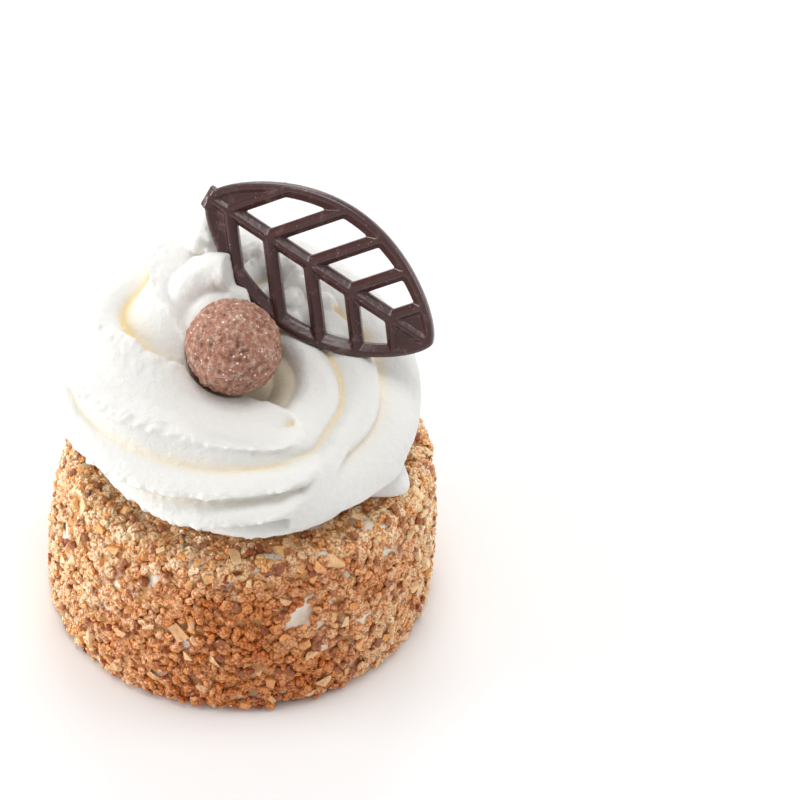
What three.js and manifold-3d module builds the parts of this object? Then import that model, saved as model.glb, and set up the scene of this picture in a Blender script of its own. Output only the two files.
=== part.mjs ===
// A small hazelnut meringue, upright: a drum rolled in chopped caramelised nuts, a piped
// rosette of whipped cream on it, a dusted chocolate ball pressed into the rosette's middle,
// and an openwork chocolate leaf standing behind the ball.
// Millimetres, +Z up. The origin is the middle of the drum's flat foot, on the table, and the
// front of the pastry faces -Y.

import * as THREE from 'three';
import { ParametricGeometry } from 'three/addons/geometries/ParametricGeometry.js';
import { mergeVertices } from 'three/addons/utils/BufferGeometryUtils.js';
import Module from 'manifold-3d';

const wasm = await Module();
wasm.setup();

// ---- driving dimensions, mm and degrees ----

const GAP = 0.3;               // left between pieces that lie on or in each other

const DRUM = {
  height: 34,
  bellyRadius: 36,             // out to the tips of the nuts
  bellyHeight: 8,
  taper: 6.7,                  // how much the radius loses over the drum's height
  edgeRadius: 4.5,             // rounding of the top edge
  footRounding: 1.6,
  topRing: 23,                 // inside this radius the cream hides the top
  lean: 1.8,                   // the hand-shaped top sits this much to the right
  columns: 111,                // a multiple of three, so that the granules meet round the back
  rows: 28,
};

const NUT = {
  count: 34,
  length: 2.1,                 // half sizes of a large chopped piece
  width: 1.5,
  thickness: 1.25,
  lowest: 3.2,
  highest: 28,
  sink: 0.75,                  // its middle lies this far inside the tips
  bumpLow: 1.15,               // hollows between the small granules
  bumpHigh: 1.3,               // how far a small granule stands out of them
  wander: 0.75,                // how far a granule's place wanders, in columns
};

const RING = {
  radius: 16.5,                // middle line of the piped rope
  halfWidth: 15.9,
  leftWidth: 0.6,              // more on the left, less on the right
  midHeight: 12,               // of the rope's middle over the drum
  midRise: 3.2,                // more at the back, less at the front
  midRiseAt: 115,
  halfHeight: 12.6,
  halfHeightRise: 3.2,
  halfHeightRiseAt: 110,
  innerEnd: 165,               // the rope's inside is followed this far round its section
  floor: 11,                   // height of the hollow's floor over the drum
  seamAt: 300,                 // where the rope's end meets its start
  hollow: 0.28,                // share that the rope's inside is drawn back beside the ball
  tuck: 0.13,                  // share that its underside is drawn in at the front left
  tuckAt: 228,
  tuckWidth: 30,
  flare: 6.5,                  // corner that the outer panel runs out to at the front right
  flareAt: 332,
  flareWidth: 9,
  columns: 64,
  rows: 25,
  skew: 2,                     // columns that a row is turned by, along the ridges
};

const RIDGE = {
  startSpacing: 29,            // degrees of section between ridges, where the rope starts
  fullSpacing: 45,
  anchor: 60,                  // section angle that the spacing opens from
  turns: 7.1,                  // ridges that pass over the rope on the whole way round
  windUp: 7,
  windPower: 1.5,
  windEnd: 340,
  panelFrom: -1.5,             // the start's outer side is one wide panel, from here
  panelTo: -3,                 // to here, counted in ridges
  lipCrease: 0.56,             // where a thin lip falls back to its crease
  depth: 0.2,                  // crease depth as a share of the rope's size
};

// Torn lumps of cream round the leaf: x, y, z and radius.
const LUMPS = [
  [-7.6, 19.2, 60.6, 4.6],
  [-3.2, 9.6, 62.6, 3.2],
  [5.2, 13.4, 60.2, 3.4],
  [11, 6, 55.8, 3],
];

const BALL = { radius: 8.6, x: -1.4, y: -5, z: 59.2, crag: 0.22, detail: 4 };

const LEAF = {
  length: 46.8,
  halfWidth: 12.7,
  bluntness: 0.67,             // 1 would be a sine curve's pointed ends
  thickness: 2.3,
  rim: 2.4,
  midrib: 2.4,
  rib: 2.2,
  ribAngle: 52,
  firstRib: 4.6,
  ribSpacing: 8.43,
  ribs: 5,
  web: 1.0,                    // thickness of the closed cells at stem and tip
  bevel: 0.55,
  stem: [-6, 16.4, 75.2],      // the stem end's place
  yaw: -18,
  lean: 25,                    // back from upright
  dip: 22.6,                   // the tip hangs this far below the stem, in its own plane
};

// ---- helpers ----

const rad = THREE.MathUtils.degToRad;
const smooth = THREE.MathUtils.smoothstep;
const lerp = THREE.MathUtils.lerp;

// A repeatable number from 0 to 1 for a cell of a grid.
function seeded(i, j = 0, k = 0) {
  const n = Math.sin(i * 127.1 + j * 311.7 + k * 74.7) * 43758.5453;
  return n - Math.floor(n);
}

function mod(a, b) {
  return ((a % b) + b) % b;
}

// A closed mesh with shared vertices, as a solid that can be joined and cut.
function solidOf(geometry) {
  const shell = geometry.clone();
  shell.deleteAttribute('normal');
  shell.deleteAttribute('uv');
  const merged = mergeVertices(shell);
  const corners = merged.index.array;
  const kept = [];
  for (let i = 0; i < corners.length; i += 3) {
    const [a, b, c] = corners.slice(i, i + 3);
    if (a !== b && b !== c && c !== a) kept.push(a, b, c);
  }
  return new wasm.Manifold(new wasm.Mesh({
    numProp: 3,
    vertProperties: merged.attributes.position.array,
    triVerts: new Uint32Array(kept),
  }));
}

// The largest body of a solid, as a geometry, without loose scraps.
function geometryOf(solid) {
  const bodies = solid.simplify(0.01).decompose();
  const largest = bodies.reduce((a, b) => (a.volume() > b.volume() ? a : b));
  const mesh = largest.getMesh();
  const geometry = new THREE.BufferGeometry();
  geometry.setAttribute('position', new THREE.BufferAttribute(mesh.vertProperties, 3));
  geometry.setIndex(new THREE.BufferAttribute(mesh.triVerts, 1));
  geometry.computeVertexNormals();
  return geometry;
}

function finish(color, roughness) {
  return new THREE.MeshStandardMaterial({ color, roughness, metalness: 0 });
}

// ---- the drum ----

// Radius to the tips of the nuts at a height.
function drumRadius(z) {
  const rise = (z - DRUM.bellyHeight) / DRUM.height;
  return DRUM.bellyRadius - DRUM.taper * rise * rise;
}

// The drum's half outline from the foot to the top, in r and z, evenly spaced.
function drumProfile() {
  const shoulder = DRUM.height - DRUM.edgeRadius;
  const side = [];
  for (let step = 0; step <= 6; step += 1) {
    const z = lerp(DRUM.footRounding, shoulder, step / 6);
    side.push(new THREE.Vector2(drumRadius(z), z));
  }
  const topRadius = drumRadius(shoulder);
  const path = new THREE.Path();
  path.moveTo(drumRadius(0) - DRUM.footRounding, 0);
  path.quadraticCurveTo(drumRadius(0), 0, side[0].x, side[0].y);
  path.splineThru(side.slice(1));
  path.quadraticCurveTo(topRadius, DRUM.height, topRadius - DRUM.edgeRadius, DRUM.height);
  path.lineTo(DRUM.topRing, DRUM.height);
  return path.getSpacedPoints(DRUM.rows - 2);
}

// Height of the small granules: on a triangular grid each third point is a granule's top.
function granule(column, row) {
  const peak = mod(column - row, 3) === 0;
  const chance = seeded(mod(column, DRUM.columns), row, 1);
  return peak ? NUT.bumpHigh * lerp(0.3, 1, chance) : NUT.bumpHigh * 0.6 * chance * chance;
}

function drumGeometry() {
  const profile = drumProfile();
  const last = DRUM.rows;
  const place = (u, v, target) => {
    const row = Math.round(v * last);
    const column = Math.round(u * DRUM.columns);
    if (row === 0 || row === last) {
      target.set(row === 0 ? 0 : DRUM.lean, 0, row === 0 ? 0 : DRUM.height);
      return;
    }
    const here = profile[row - 1];
    const before = profile[Math.max(row - 2, 0)];
    const after = profile[Math.min(row, last - 2)];
    const along = new THREE.Vector2().subVectors(after, before).normalize();
    const flat = row === 1 || row === last - 1;
    const calm = Math.min(1, (row - 1) / 3);
    const inset = flat ? 0 : NUT.bumpLow - calm * granule(column, row);
    const wander = flat ? 0 : seeded(mod(column, DRUM.columns), row, 2) - 0.5;
    const turn = ((column + row / 2 + wander * NUT.wander) / DRUM.columns) * 2 * Math.PI;
    const r = here.x - along.y * inset;
    const z = THREE.MathUtils.clamp(here.y + along.x * inset, 0, DRUM.height);
    const shift = DRUM.lean * (z / DRUM.height) ** 1.5;
    target.set(shift + r * Math.cos(turn), r * Math.sin(turn), z);
  };
  return new ParametricGeometry(place, DRUM.columns, DRUM.rows);
}

// One large chopped piece, set on the drum's side by a golden-angle spiral.
function nutGeometry(index) {
  const turn = index * rad(137.508) + (seeded(index, 3) - 0.5) * 0.2;
  const share = (index + 0.5) / NUT.count;
  const z = lerp(NUT.lowest, NUT.highest, mod(share * 7.13 + share, 1));
  const r = drumRadius(z) - NUT.sink;
  const size = lerp(0.8, 1.15, seeded(index, 4));
  const piece = new THREE.IcosahedronGeometry(1, 0);
  piece.rotateY(seeded(index, 5) * Math.PI);
  piece.scale(NUT.length * size, NUT.thickness * size, NUT.width * size);
  piece.rotateY(seeded(index, 6) * Math.PI);
  piece.rotateZ(turn + Math.PI / 2);
  const shift = DRUM.lean * (z / DRUM.height) ** 1.5;
  piece.translate(shift + r * Math.cos(turn), r * Math.sin(turn), z);
  return piece;
}

function base() {
  const nuts = Array.from({ length: NUT.count }, (_, index) => solidOf(nutGeometry(index)));
  const coated = wasm.Manifold.union([solidOf(drumGeometry()), ...nuts]);
  return new THREE.Mesh(geometryOf(coated), finish(0xc98f52, 0.75));
}

// ---- the cream ----

// The rope's section at a ring angle: its middle and its two half sizes.
function ringSection(angle) {
  const back = Math.cos(rad(angle - RING.midRiseAt));
  const tall = Math.cos(rad(angle - RING.halfHeightRiseAt));
  return {
    mid: DRUM.height + RING.midHeight + RING.midRise * back,
    halfWidth: RING.halfWidth - RING.leftWidth * Math.cos(rad(angle)),
    halfHeight: RING.halfHeight + RING.halfHeightRise * tall,
  };
}

// How far round the ring a place is from the rope's start.
function wayFromStart(angle) {
  return mod(angle - RING.seamAt, 360);
}

// 0 on a crease between two ridges and 1 on a ridge. The ridges wind over the rope as it goes
// round: rounded tubes near its start, with a wide panel outside them, and thin lips further on.
function ridge(angle, section) {
  const way = wayFromStart(angle);
  const opened = smooth(way, 60, 180) - smooth(way, 305, 360);
  const spacing = lerp(RIDGE.startSpacing, RIDGE.fullSpacing, opened);
  const left = Math.max(0, 1 - way / RIDGE.windEnd) ** RIDGE.windPower;
  const phase = (section - RIDGE.anchor) / spacing - RIDGE.turns + RIDGE.windUp * left;
  const share = phase - Math.floor(phase);
  const off = Math.min(share, 1 - share) * 2;
  const tube = Math.max(0, 1 - off ** 2.4) ** 0.7;

  const count = phase + RIDGE.turns - RIDGE.windUp;
  const across = (RIDGE.panelFrom - count) / (RIDGE.panelFrom - RIDGE.panelTo);
  const inPanel = across > 0 && across < 1 ? 1 - smooth(way, 75, 120) : 0;
  const rounded = lerp(tube, Math.max(0, across) ** 0.6, inPanel);

  const lip = share < RIDGE.lipCrease
    ? 1 - (share / RIDGE.lipCrease) ** 1.6
    : ((share - RIDGE.lipCrease) / (1 - RIDGE.lipCrease)) ** 1.25;
  return lerp(rounded, lip, smooth(way, 100, 200) * (1 - smooth(way, 325, 360)));
}

// 1 at a ring angle and down to 0 within a width on both sides of it.
function near(angle, middle, width) {
  const off = mod(angle - middle + 180, 360) - 180;
  return Math.exp(-((off / width) ** 2));
}

function ringPoint(angle, section, target) {
  const { mid, halfWidth, halfHeight } = ringSection(angle);
  const way = wayFromStart(angle);
  const beside = smooth(way, 4, 30) * (1 - smooth(way, 70, 120));
  const drawn = RING.hollow * smooth(section, 100, 135) * beside;
  const tucked = RING.tuck * smooth(-section, 0, 35) * near(angle, RING.tuckAt, RING.tuckWidth);
  const size = 1 - RIDGE.depth * (1 - ridge(angle, section)) - drawn - tucked;
  const flare = RING.flare * near(angle, RING.flareAt, RING.flareWidth);
  const out = flare * smooth(-section, 5, 60);
  const r = RING.radius + halfWidth * size * Math.cos(rad(section)) + out;
  const z = mid + halfHeight * size * Math.sin(rad(section));
  const lowest = DRUM.height + GAP;
  target.set(r * Math.cos(rad(angle)), r * Math.sin(rad(angle)), Math.max(z, lowest));
}

// From the middle of its underside out, up over the rope and down into the hollow.
function ringGeometry() {
  const place = (u, v, target) => {
    const row = Math.round(v * RING.rows);
    if (row === 0 || row === RING.rows) {
      target.set(0, 0, DRUM.height + (row === 0 ? GAP : RING.floor));
      return;
    }
    const column = Math.round(u * RING.columns) + RING.skew * row;
    const angle = (mod(column, RING.columns) / RING.columns) * 360;
    const { mid, halfHeight } = ringSection(angle);
    const reach = (mid - DRUM.height - GAP) / halfHeight / (1 - RIDGE.depth);
    const start = -THREE.MathUtils.radToDeg(Math.asin(Math.min(reach, 1)));
    ringPoint(angle, lerp(start, RING.innerEnd, (row - 1) / (RING.rows - 2)), target);
    if (row === 1) target.z = DRUM.height + GAP;
  };
  return new ParametricGeometry(place, RING.columns, RING.rows);
}

// Makes a round geometry uneven by a share of its radius.
function roughen(geometry, share) {
  const point = new THREE.Vector3();
  const places = geometry.attributes.position;
  for (let i = 0; i < places.count; i += 1) {
    point.fromBufferAttribute(places, i);
    const key = point.clone().multiplyScalar(10).round();
    point.multiplyScalar(1 + (seeded(key.x, key.y, key.z) - 0.5) * 2 * share);
    places.setXYZ(i, point.x, point.y, point.z);
  }
  return geometry;
}

function lumpGeometry([x, y, z, radius], index) {
  const lump = roughen(new THREE.IcosahedronGeometry(radius, 1), 0.16);
  lump.scale(1, 0.85, 1.1);
  lump.rotateZ(index);
  lump.translate(x, y, z);
  return lump;
}

function cream() {
  const lumps = LUMPS.map((lump, index) => solidOf(lumpGeometry(lump, index)));
  const piped = wasm.Manifold.union([solidOf(ringGeometry()), ...lumps]);
  const nest = new THREE.IcosahedronGeometry(BALL.radius + BALL.crag + 1.5 * GAP, 3);
  nest.translate(BALL.x, BALL.y, BALL.z);
  const slot = leafBlankGeometry();
  const cut = piped.subtract(solidOf(nest)).subtract(solidOf(slot));
  return new THREE.Mesh(geometryOf(cut), finish(0xf6f1e4, 0.6));
}

// ---- the chocolate ball ----

function truffle() {
  const ball = new THREE.IcosahedronGeometry(BALL.radius, BALL.detail);
  const rough = roughen(ball, BALL.crag / BALL.radius);
  const mesh = new THREE.Mesh(geometryOf(solidOf(rough)), finish(0x8a6455, 0.9));
  mesh.position.set(BALL.x, BALL.y, BALL.z);
  return mesh;
}

// ---- the chocolate leaf, in its own plane: x from stem to tip, y across, z out of its face ----

// Half the width of a lens-shaped blade that keeps an inset to the leaf's outline.
function bladeHalfWidth(x, inset = 0) {
  const share = THREE.MathUtils.clamp((x - inset) / (LEAF.length - 2 * inset), 0, 1);
  return (LEAF.halfWidth - inset) * Math.sin(Math.PI * share) ** LEAF.bluntness;
}

// The blade's outline with an inset, as points with even steps of arc near its ends.
function bladeOutline(inset, steps = 22) {
  const points = [];
  for (let step = 0; step < 2 * steps; step += 1) {
    const turn = (step / steps) * Math.PI;
    const side = step < steps ? 1 : -1;
    const x = lerp(inset, LEAF.length - inset, (1 - Math.cos(turn)) / 2);
    points.push(new THREE.Vector2(x, side * bladeHalfWidth(x, inset)));
  }
  return points;
}

// Where a rib's edge is at a distance y from the midrib.
function ribEdge(index, side, y) {
  const foot = LEAF.firstRib + index * LEAF.ribSpacing;
  const angle = rad(LEAF.ribAngle);
  return foot + y / Math.tan(angle) + (side * LEAF.rib) / 2 / Math.sin(angle);
}

// Where that edge meets the inside of the rim.
function ribEnd(index, side) {
  let low = LEAF.midrib / 2;
  let high = LEAF.halfWidth;
  for (let step = 0; step < 30; step += 1) {
    const y = (low + high) / 2;
    if (bladeHalfWidth(ribEdge(index, side, y), LEAF.rim) > y) low = y;
    else high = y;
  }
  return new THREE.Vector2(ribEdge(index, side, low), low);
}

// The cell before rib number index: a path over midrib, rib and rim. The first cell and the one
// past the last rib have one rib only.
function leafCell(index, steps = 5) {
  const foot = LEAF.midrib / 2;
  const from = index > 0
    ? ribEnd(index - 1, 1)
    : new THREE.Vector2(LEAF.rim * 1.25, foot);
  const to = index < LEAF.ribs
    ? ribEnd(index, -1)
    : new THREE.Vector2(LEAF.length - LEAF.rim * 1.25, foot);
  const points = [];
  if (index > 0) points.push(new THREE.Vector2(ribEdge(index - 1, 1, foot), foot));
  if (index < LEAF.ribs) points.push(new THREE.Vector2(ribEdge(index, -1, foot), foot));
  for (let step = 0; step <= steps; step += 1) {
    const x = lerp(to.x, from.x, step / steps);
    points.push(new THREE.Vector2(x, Math.max(bladeHalfWidth(x, LEAF.rim), foot)));
  }
  return points;
}

// The same cell on the other side of the midrib.
function mirrored(points) {
  return points.map((point) => new THREE.Vector2(point.x, -point.y)).reverse();
}

// Puts a geometry of the leaf's own plane in its place on the pastry.
function placeLeaf(geometry) {
  geometry.rotateZ(rad(-LEAF.dip));
  geometry.rotateX(rad(90 - LEAF.lean));
  geometry.rotateZ(rad(LEAF.yaw));
  geometry.translate(...LEAF.stem);
  return geometry;
}

function slab(shape, bottom, depth) {
  const plate = new THREE.ExtrudeGeometry(shape, { depth, bevelEnabled: false });
  plate.translate(0, 0, bottom);
  return plate;
}

// The room that the leaf takes in the cream.
function leafBlankGeometry() {
  const outline = new THREE.Shape(bladeOutline(-GAP));
  const depth = LEAF.thickness + 2 * GAP;
  return placeLeaf(slab(outline, -depth / 2, depth));
}

function leaf() {
  const blade = new THREE.Shape(bladeOutline(0));
  const closed = [];
  for (let index = 0; index <= LEAF.ribs; index += 1) {
    const cell = leafCell(index);
    const open = index > 0 && index < LEAF.ribs;
    for (const outline of [cell, mirrored(cell)]) {
      if (open) blade.holes.push(new THREE.Path(outline));
      else closed.push(new THREE.Shape(outline));
    }
  }
  const openwork = new THREE.ExtrudeGeometry(blade, {
    depth: LEAF.thickness - 2 * LEAF.bevel,
    bevelThickness: LEAF.bevel,
    bevelSize: LEAF.bevel,
    bevelOffset: -LEAF.bevel,
    bevelSegments: 1,
  });
  openwork.translate(0, 0, LEAF.bevel - LEAF.thickness / 2);
  const pockets = closed.map((shape) => solidOf(slab(shape, LEAF.web / 2, LEAF.thickness)));
  const cast = solidOf(openwork).subtract(wasm.Manifold.union(pockets));
  return new THREE.Mesh(placeLeaf(geometryOf(cast)), finish(0x2e1c19, 0.35));
}

// ---- the pastry ----

const pastry = new THREE.Group();
for (const [name, make] of Object.entries({ base, cream, truffle, leaf })) {
  const piece = make();
  piece.name = name;
  pastry.add(piece);
}

export default pastry;
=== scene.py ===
"""A small hazelnut meringue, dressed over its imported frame.

A drum rolled in chopped caramelised nuts carries a piped rosette of whipped cream. A chocolate
ball rolled in sugar is pressed into the rosette, and an openwork chocolate leaf stands behind it.
Metres, +Z up; the front of the pastry faces -Y.
"""

import itertools
import math

import bmesh
import bpy
import numpy as np
from bpy.props import FloatProperty, FloatVectorProperty, IntProperty, PointerProperty
from mathutils import Matrix, Vector


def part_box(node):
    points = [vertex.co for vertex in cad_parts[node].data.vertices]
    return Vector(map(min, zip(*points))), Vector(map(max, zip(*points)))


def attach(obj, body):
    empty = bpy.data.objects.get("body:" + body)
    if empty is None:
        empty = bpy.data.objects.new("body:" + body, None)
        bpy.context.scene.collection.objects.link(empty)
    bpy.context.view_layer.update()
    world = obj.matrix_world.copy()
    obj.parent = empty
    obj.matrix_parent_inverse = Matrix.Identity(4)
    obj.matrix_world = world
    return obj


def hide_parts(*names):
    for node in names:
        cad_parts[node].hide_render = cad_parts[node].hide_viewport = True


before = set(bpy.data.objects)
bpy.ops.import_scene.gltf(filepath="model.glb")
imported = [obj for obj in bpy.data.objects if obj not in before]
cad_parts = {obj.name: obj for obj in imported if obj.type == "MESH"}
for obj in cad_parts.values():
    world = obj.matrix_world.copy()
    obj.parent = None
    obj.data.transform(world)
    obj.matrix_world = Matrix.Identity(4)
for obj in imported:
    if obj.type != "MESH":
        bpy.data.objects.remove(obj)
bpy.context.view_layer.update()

bl_info = {
    "name": "Hazelnut Meringue",
    "version": (1, 0, 0),
    "blender": (4, 5, 0),
    "location": "View3D > Sidebar > Meringue",
    "description": "Dresses a hazelnut meringue over its frame",
    "category": "Object",
}

MM = 0.001
SEED = 7

# ---- sizes from the frame ----

BASE_LOW, BASE_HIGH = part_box("base")
BALL_LOW, BALL_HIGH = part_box("truffle")
DRUM_HEIGHT = BASE_HIGH.z
NUT_TIPS = (BASE_HIGH.y - BASE_LOW.y) / 2
BALL_RADIUS = (BALL_HIGH.z - BALL_LOW.z) / 2
BALL_MIDDLE = (BALL_LOW + BALL_HIGH) / 2
GAP = 0.3 * MM

# ---- the drum's form ----

DRUM = {
    "belly_height": 8 * MM,
    "taper": 6.7 * MM,           # radius lost over the drum's height
    "edge_radius": 4.5 * MM,
    "foot_rounding": 1.6 * MM,
    "top_ring": 22 * MM,         # the nuts end here on the top, where the cream hides most of it
    "lean": 1.8 * MM,            # the top sits this much to the right
    "lean_power": 1.5,
    "rounding_steps": 40,
    "side_steps": 120,
    "top_steps": 60,
    "outline_steps": 400,
    "rings": 60,
    "sides": 240,
}

# Painted shade on the nuts at the front, which the lights hardly reach, deepest low down: its ring
# angle and reach, in degrees, how much of that is lost between two heights, and the clouds of
# deeper and paler caramel all round, which are the nuts' own tone.
FRONT_SHADE_AND_TONE = {
    "at": 275,
    "width": 50,
    "pales_from_to": (24 * MM, 36 * MM),
    "pales_by": 0.75,
    "clouds": 0.3,
    "cloud_size": 7 * MM,
}

# ---- the rosette's form: a piped rope laid in a ring, with ridges that wind over it ----

# Angles are in degrees. The section angle is 0 at the rope's outside and 90 at its top, and a
# pair named "..._over" is of its negative, so it says where something sets in downwards.
RING = {
    "radius": 16.5 * MM,
    "half_width": 15.9 * MM,
    "left_width": 0.6 * MM,
    "mid_height": 12 * MM,
    "mid_rise": 3.2 * MM,
    "mid_rise_at": 115,
    "half_height": 12.6 * MM,
    "half_height_rise": 3.2 * MM,
    "half_height_rise_at": 110,
    "inner_end": 165,
    "floor": 14 * MM,
    "seam_at": 300,
    "seam_slant": 15,
    "slant_over": (-50, -5),
    "hollow": 0.26,
    "hollow_slope": 24,
    "tuck": 0.13,
    "tuck_at": 228,
    "tuck_width": 30,
    "tuck_over": (0, 35),
    "flare": 7.2 * MM,
    "flare_at": 331,
    "flare_width": 8,
    "flare_over": (5, 60),
    "rim_tear": 7,               # how wide the hollow's rim is torn
    "lean_back": 7,              # all lips lean outwards by this much
    "lean_in": 16,               # the innermost lip leans in over the hollow at the left
    "lean_at": 203,
    "lean_width": 26,
    "lean_from": (66, 76),
    "lean_to": (108, 118),
}

RIDGE = {
    "start_spacing": 29,
    "full_spacing": 45,
    "anchor": 60,
    "turns": 7.1,
    "wind_up": 7,
    "wind_power": 1.5,
    "wind_end": 340,
    "lip_shift": 0.22,
    "rim_shift": 0.4,            # the innermost lip moves this much further in at the front
    "wide_tube": 0.35,           # the tube beside the panel is this much wider than the others
    "tube_roundness": 0.85,
    "panel_from": -1.5,
    "panel_to": -2.9,
    "panel_rise": 0.6,
    "lip_crease": 0.8,           # from a lip to the crease behind it, as a share of the spacing
    "front_crease": 0.36,        # the same at the front, where the lips stand up
    "rim_crease": 0.14,          # the same behind the innermost lip
    "lip_fall": 1.6,
    "lip_rise": 1.25,
    "depth": 0.21,
    "overlap": 0.03,             # the rope's end lies this much over its start
    "torn": 0.03,
    "torn_above": 0.86,          # on the lips, over this height
    "second_up": 0.13,           # the second lip lies this much further in at the front left
    "second_crease": 0.4,        # depth of the crease behind it, as a share of the others
}

# Where round the rope, in degrees from its start, one form of ridge turns into another.
ALONG = {
    "spread": (60, 180),         # the ridges draw apart
    "gather": (305, 360),
    "start": (8, 30),
    "start_smooth": (6, 16),     # the outermost tubes are flat before this
    "end_smooth": (300, 345),
    "tube_widens": (10, 40),
    "inner_tubes": (60, 110),    # inside the first tube the rope is smooth before this
    "panel_ends": (75, 120),
    "lips": (100, 200),          # the tubes turn into lips
    "front_lips": (200, 236),
    "faint_crease": (215, 245),
    "rim_lip": (258, 298),
    "rim_crease": (290, 320),
    "lips_end": (345, 360),
    "overlap": (310, 350),
}

# The lips are counted by their phase, which rises by 1 from each to the next one inwards. The
# innermost and the second begin at whole phases, and their own shifts set in and end between two.
WIDE_AT = -0.5               # the tubes are widened outwards of this phase
INNERMOST_LIP = -6
SECOND_LIP = -7
RIM_LIP = (-6.6, -5.6)
SECOND_LIP_IN = (-7.9, -7.3)
SECOND_LIP_OUT = (-6.7, -6.2)
SECOND_LIP_AT, SECOND_LIP_WIDTH = 238, 26

# The hollow's rim, from the left of the ball round its front and up the right side: the angle
# past where it begins, and the section angle of the rim there.
HOLLOW_FROM = 200
HOLLOW_RIM = (
    (0, 100), (40, 123), (58, 129), (75, 122), (89, 114), (102, 88), (142, 105), (183, 125),
)
HOLLOW_DEEPENS = (10, 35)
HOLLOW_FADES = (180, 225)

CREAM_TRIANGLES = 180000
ROPE_UNEVENNESS = 0.02
FOLD_TEAR = 0.35 * MM
FRILL_OFF_LIP = 5            # the lips' edges are torn this many degrees under their tops
FRILLED_ABOVE = 0.75
FRILL_OVER = (-95, -70)
CREAM_GRAIN = 0.05 * MM

# How much painted warm shade the cream takes, as shares: in any wide crease, in the narrow one
# behind a lip and between two tubes; how little of it shows low on the outside; and in the hollow.
CREASE_SHADE = {
    "narrow": (0.8, 1),
    "wide": (0.5, 0.9),
    "anywhere": 0.25,
    "behind_lip": 0.75,
    "between_tubes": 0.5,
    "outside": 0.3,
    "inwards": (30, 80),
    "deep": (0.02, 0.14),
    "hollow": 0.45,
    "below_rim": (8, 30),
}

# Torn lumps of cream round the leaf, in mm: x, y, z and radius.
LUMPS = (
    (-6.0, 18.6, 63.8, 4.2),
    (-5.0, 18.0, 67.4, 2.9),
    (-8.2, 20.2, 60.2, 4.9),
    (2.6, 15.4, 62.4, 2.7),
    (7.6, 13.2, 61.2, 2.8),
    (8.9, 7.8, 58.4, 2.5),
    (9.2, 4.8, 56.4, 1.8),
    (13.8, 8.2, 57.0, 2.6),
)

# The innermost fold, which comes round behind the ball and ends torn in front of the leaf, in mm:
# x, y, z and radius along it.
TONGUE = (
    (-12.6, 0.5, 54.5, 2.6),
    (-11.0, 5.0, 58.4, 3.6),
    (-7.8, 7.9, 62.2, 3.9),
    (-4.4, 8.4, 64.4, 3.9),
    (-1.8, 7.4, 65.4, 3.3),
)

# The fold under it, behind the ball.
UNDERFOLD = (
    (-9.4, -1.0, 55.0, 2.4),
    (-7.4, 2.8, 58.4, 3.0),
    (-3.6, 5.2, 60.2, 3.1),
    (0.6, 6.6, 59.8, 2.6),
)

# ---- the leaf's form, in its own plane: x from stem to tip, y across, z out of its face ----

LEAF = {
    "length": 46.8 * MM,
    "half_width": 12.7 * MM,
    "bluntness": 0.67,
    "thickness": 2.3 * MM,
    "rim": 2.4 * MM,
    "midrib": 2.4 * MM,
    "rib": 2.2 * MM,
    "rib_angle": 52,
    "first_rib": 4.6 * MM,
    "rib_spacing": 8.43 * MM,
    "ribs": 5,
    "web": 1.0 * MM,
    "stem_end": Vector((1.2, 1.9)) * MM,  # the blunt end: its middle, and half its width
    "draft": 0.25 * MM,          # the cast bars are this much wider at their backs
    "crest": 0.45,               # where the rim is highest, as a share of its width
    "midrib_in": 0.4,            # how far into the rim the midrib goes, as a share of it
    "web_in": 0.5,               # and the webs
    "eaves": 0.1,                # where a bar's roof begins, as a share of half the thickness
    "roof": 0.24,                # the width of its flat top, as a share of the bar's
    "stem": Vector((-6, 16.4, 75.2)) * MM,
    "yaw": -18,
    "lean": 25,
    "dip": 22.6,
}

# ---- the light, and the camera from the photograph ----

LIGHTS = {
    "left": (-1.55, 0, 0.2),
    "right": (1.44, 0.15, 0.67),
    "back": (0, 1.44, 0.97),
    "top": (0, 0, 1.72),
}
LIGHT_AIM = Vector((0, 0, 40)) * MM
LIGHT_SIZE = 0.84
FLOOR_SIZE = 6
CLIP = (10 * MM, 10)         # the nearest and farthest that the camera sees
FRAME_PIXELS = 800
SENSOR_WIDTH_MM = 36
CAMERA = {
    "focal_pixels": 2520,
    "elevation": math.radians(42),
    "distance": 450 * MM,
    "target": Vector((0, 0, 35)) * MM,
    "target_pixel": (241, 432),
}


def linear(hex_colour):
    """An sRGB hex colour as linear red, green and blue."""
    channels = (int(hex_colour[i : i + 2], 16) / 255 for i in (1, 3, 5))
    return tuple(c / 12.92 if c <= 0.04045 else ((c + 0.055) / 1.055) ** 2.4 for c in channels)


def length_property(name, description, default):
    """A length setting in metres."""
    return FloatProperty(
        name=name, description=description, default=default, unit="LENGTH", precision=5
    )


def colour_property(name, description, default):
    """A colour setting, given as sRGB hex."""
    return FloatVectorProperty(
        name=name, description=description, default=linear(default), subtype="COLOR", size=3,
        min=0, max=1,
    )


def power_property(name, default):
    """A light's power in watts."""
    return FloatProperty(
        name=name, description="Power in watts", default=default, min=0, unit="POWER"
    )


# ---- settings ----


class DrumSettings(bpy.types.PropertyGroup):
    """Sizes and colours of the drum's coating and of the nuts."""

    coating_depth: length_property("Coating depth", "From the nuts' tips to the coating", 1.7 * MM)
    coating_lumps: length_property("Coating lumps", "Height of the coating's lumps", 0.45 * MM)
    coating: colour_property("Coating", "The creamy layer, where it is bare", "#fbf1e0")
    # Painted glow: warm light scattered through the sugar deep between the nuts, laid on the
    # coating as colour
    crevice_glow: colour_property("Glaze", "Caramel dust on the coating, between the nuts", "#d9a064")
    golden: colour_property("Golden nuts", "Caramelised nut pieces", "#fde4b8")
    honey: colour_property("Honey nuts", "Deeper caramel pieces", "#f2c584")
    pale: colour_property("Pale nuts", "Uncoated slivers of nut", "#f3d09a")
    brown: colour_property("Brown nuts", "Roasted skin and dark caramel", "#a35f34")
    caramel: colour_property("Caramel", "Smooth lumps of caramel", "#f0b56c")


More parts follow.
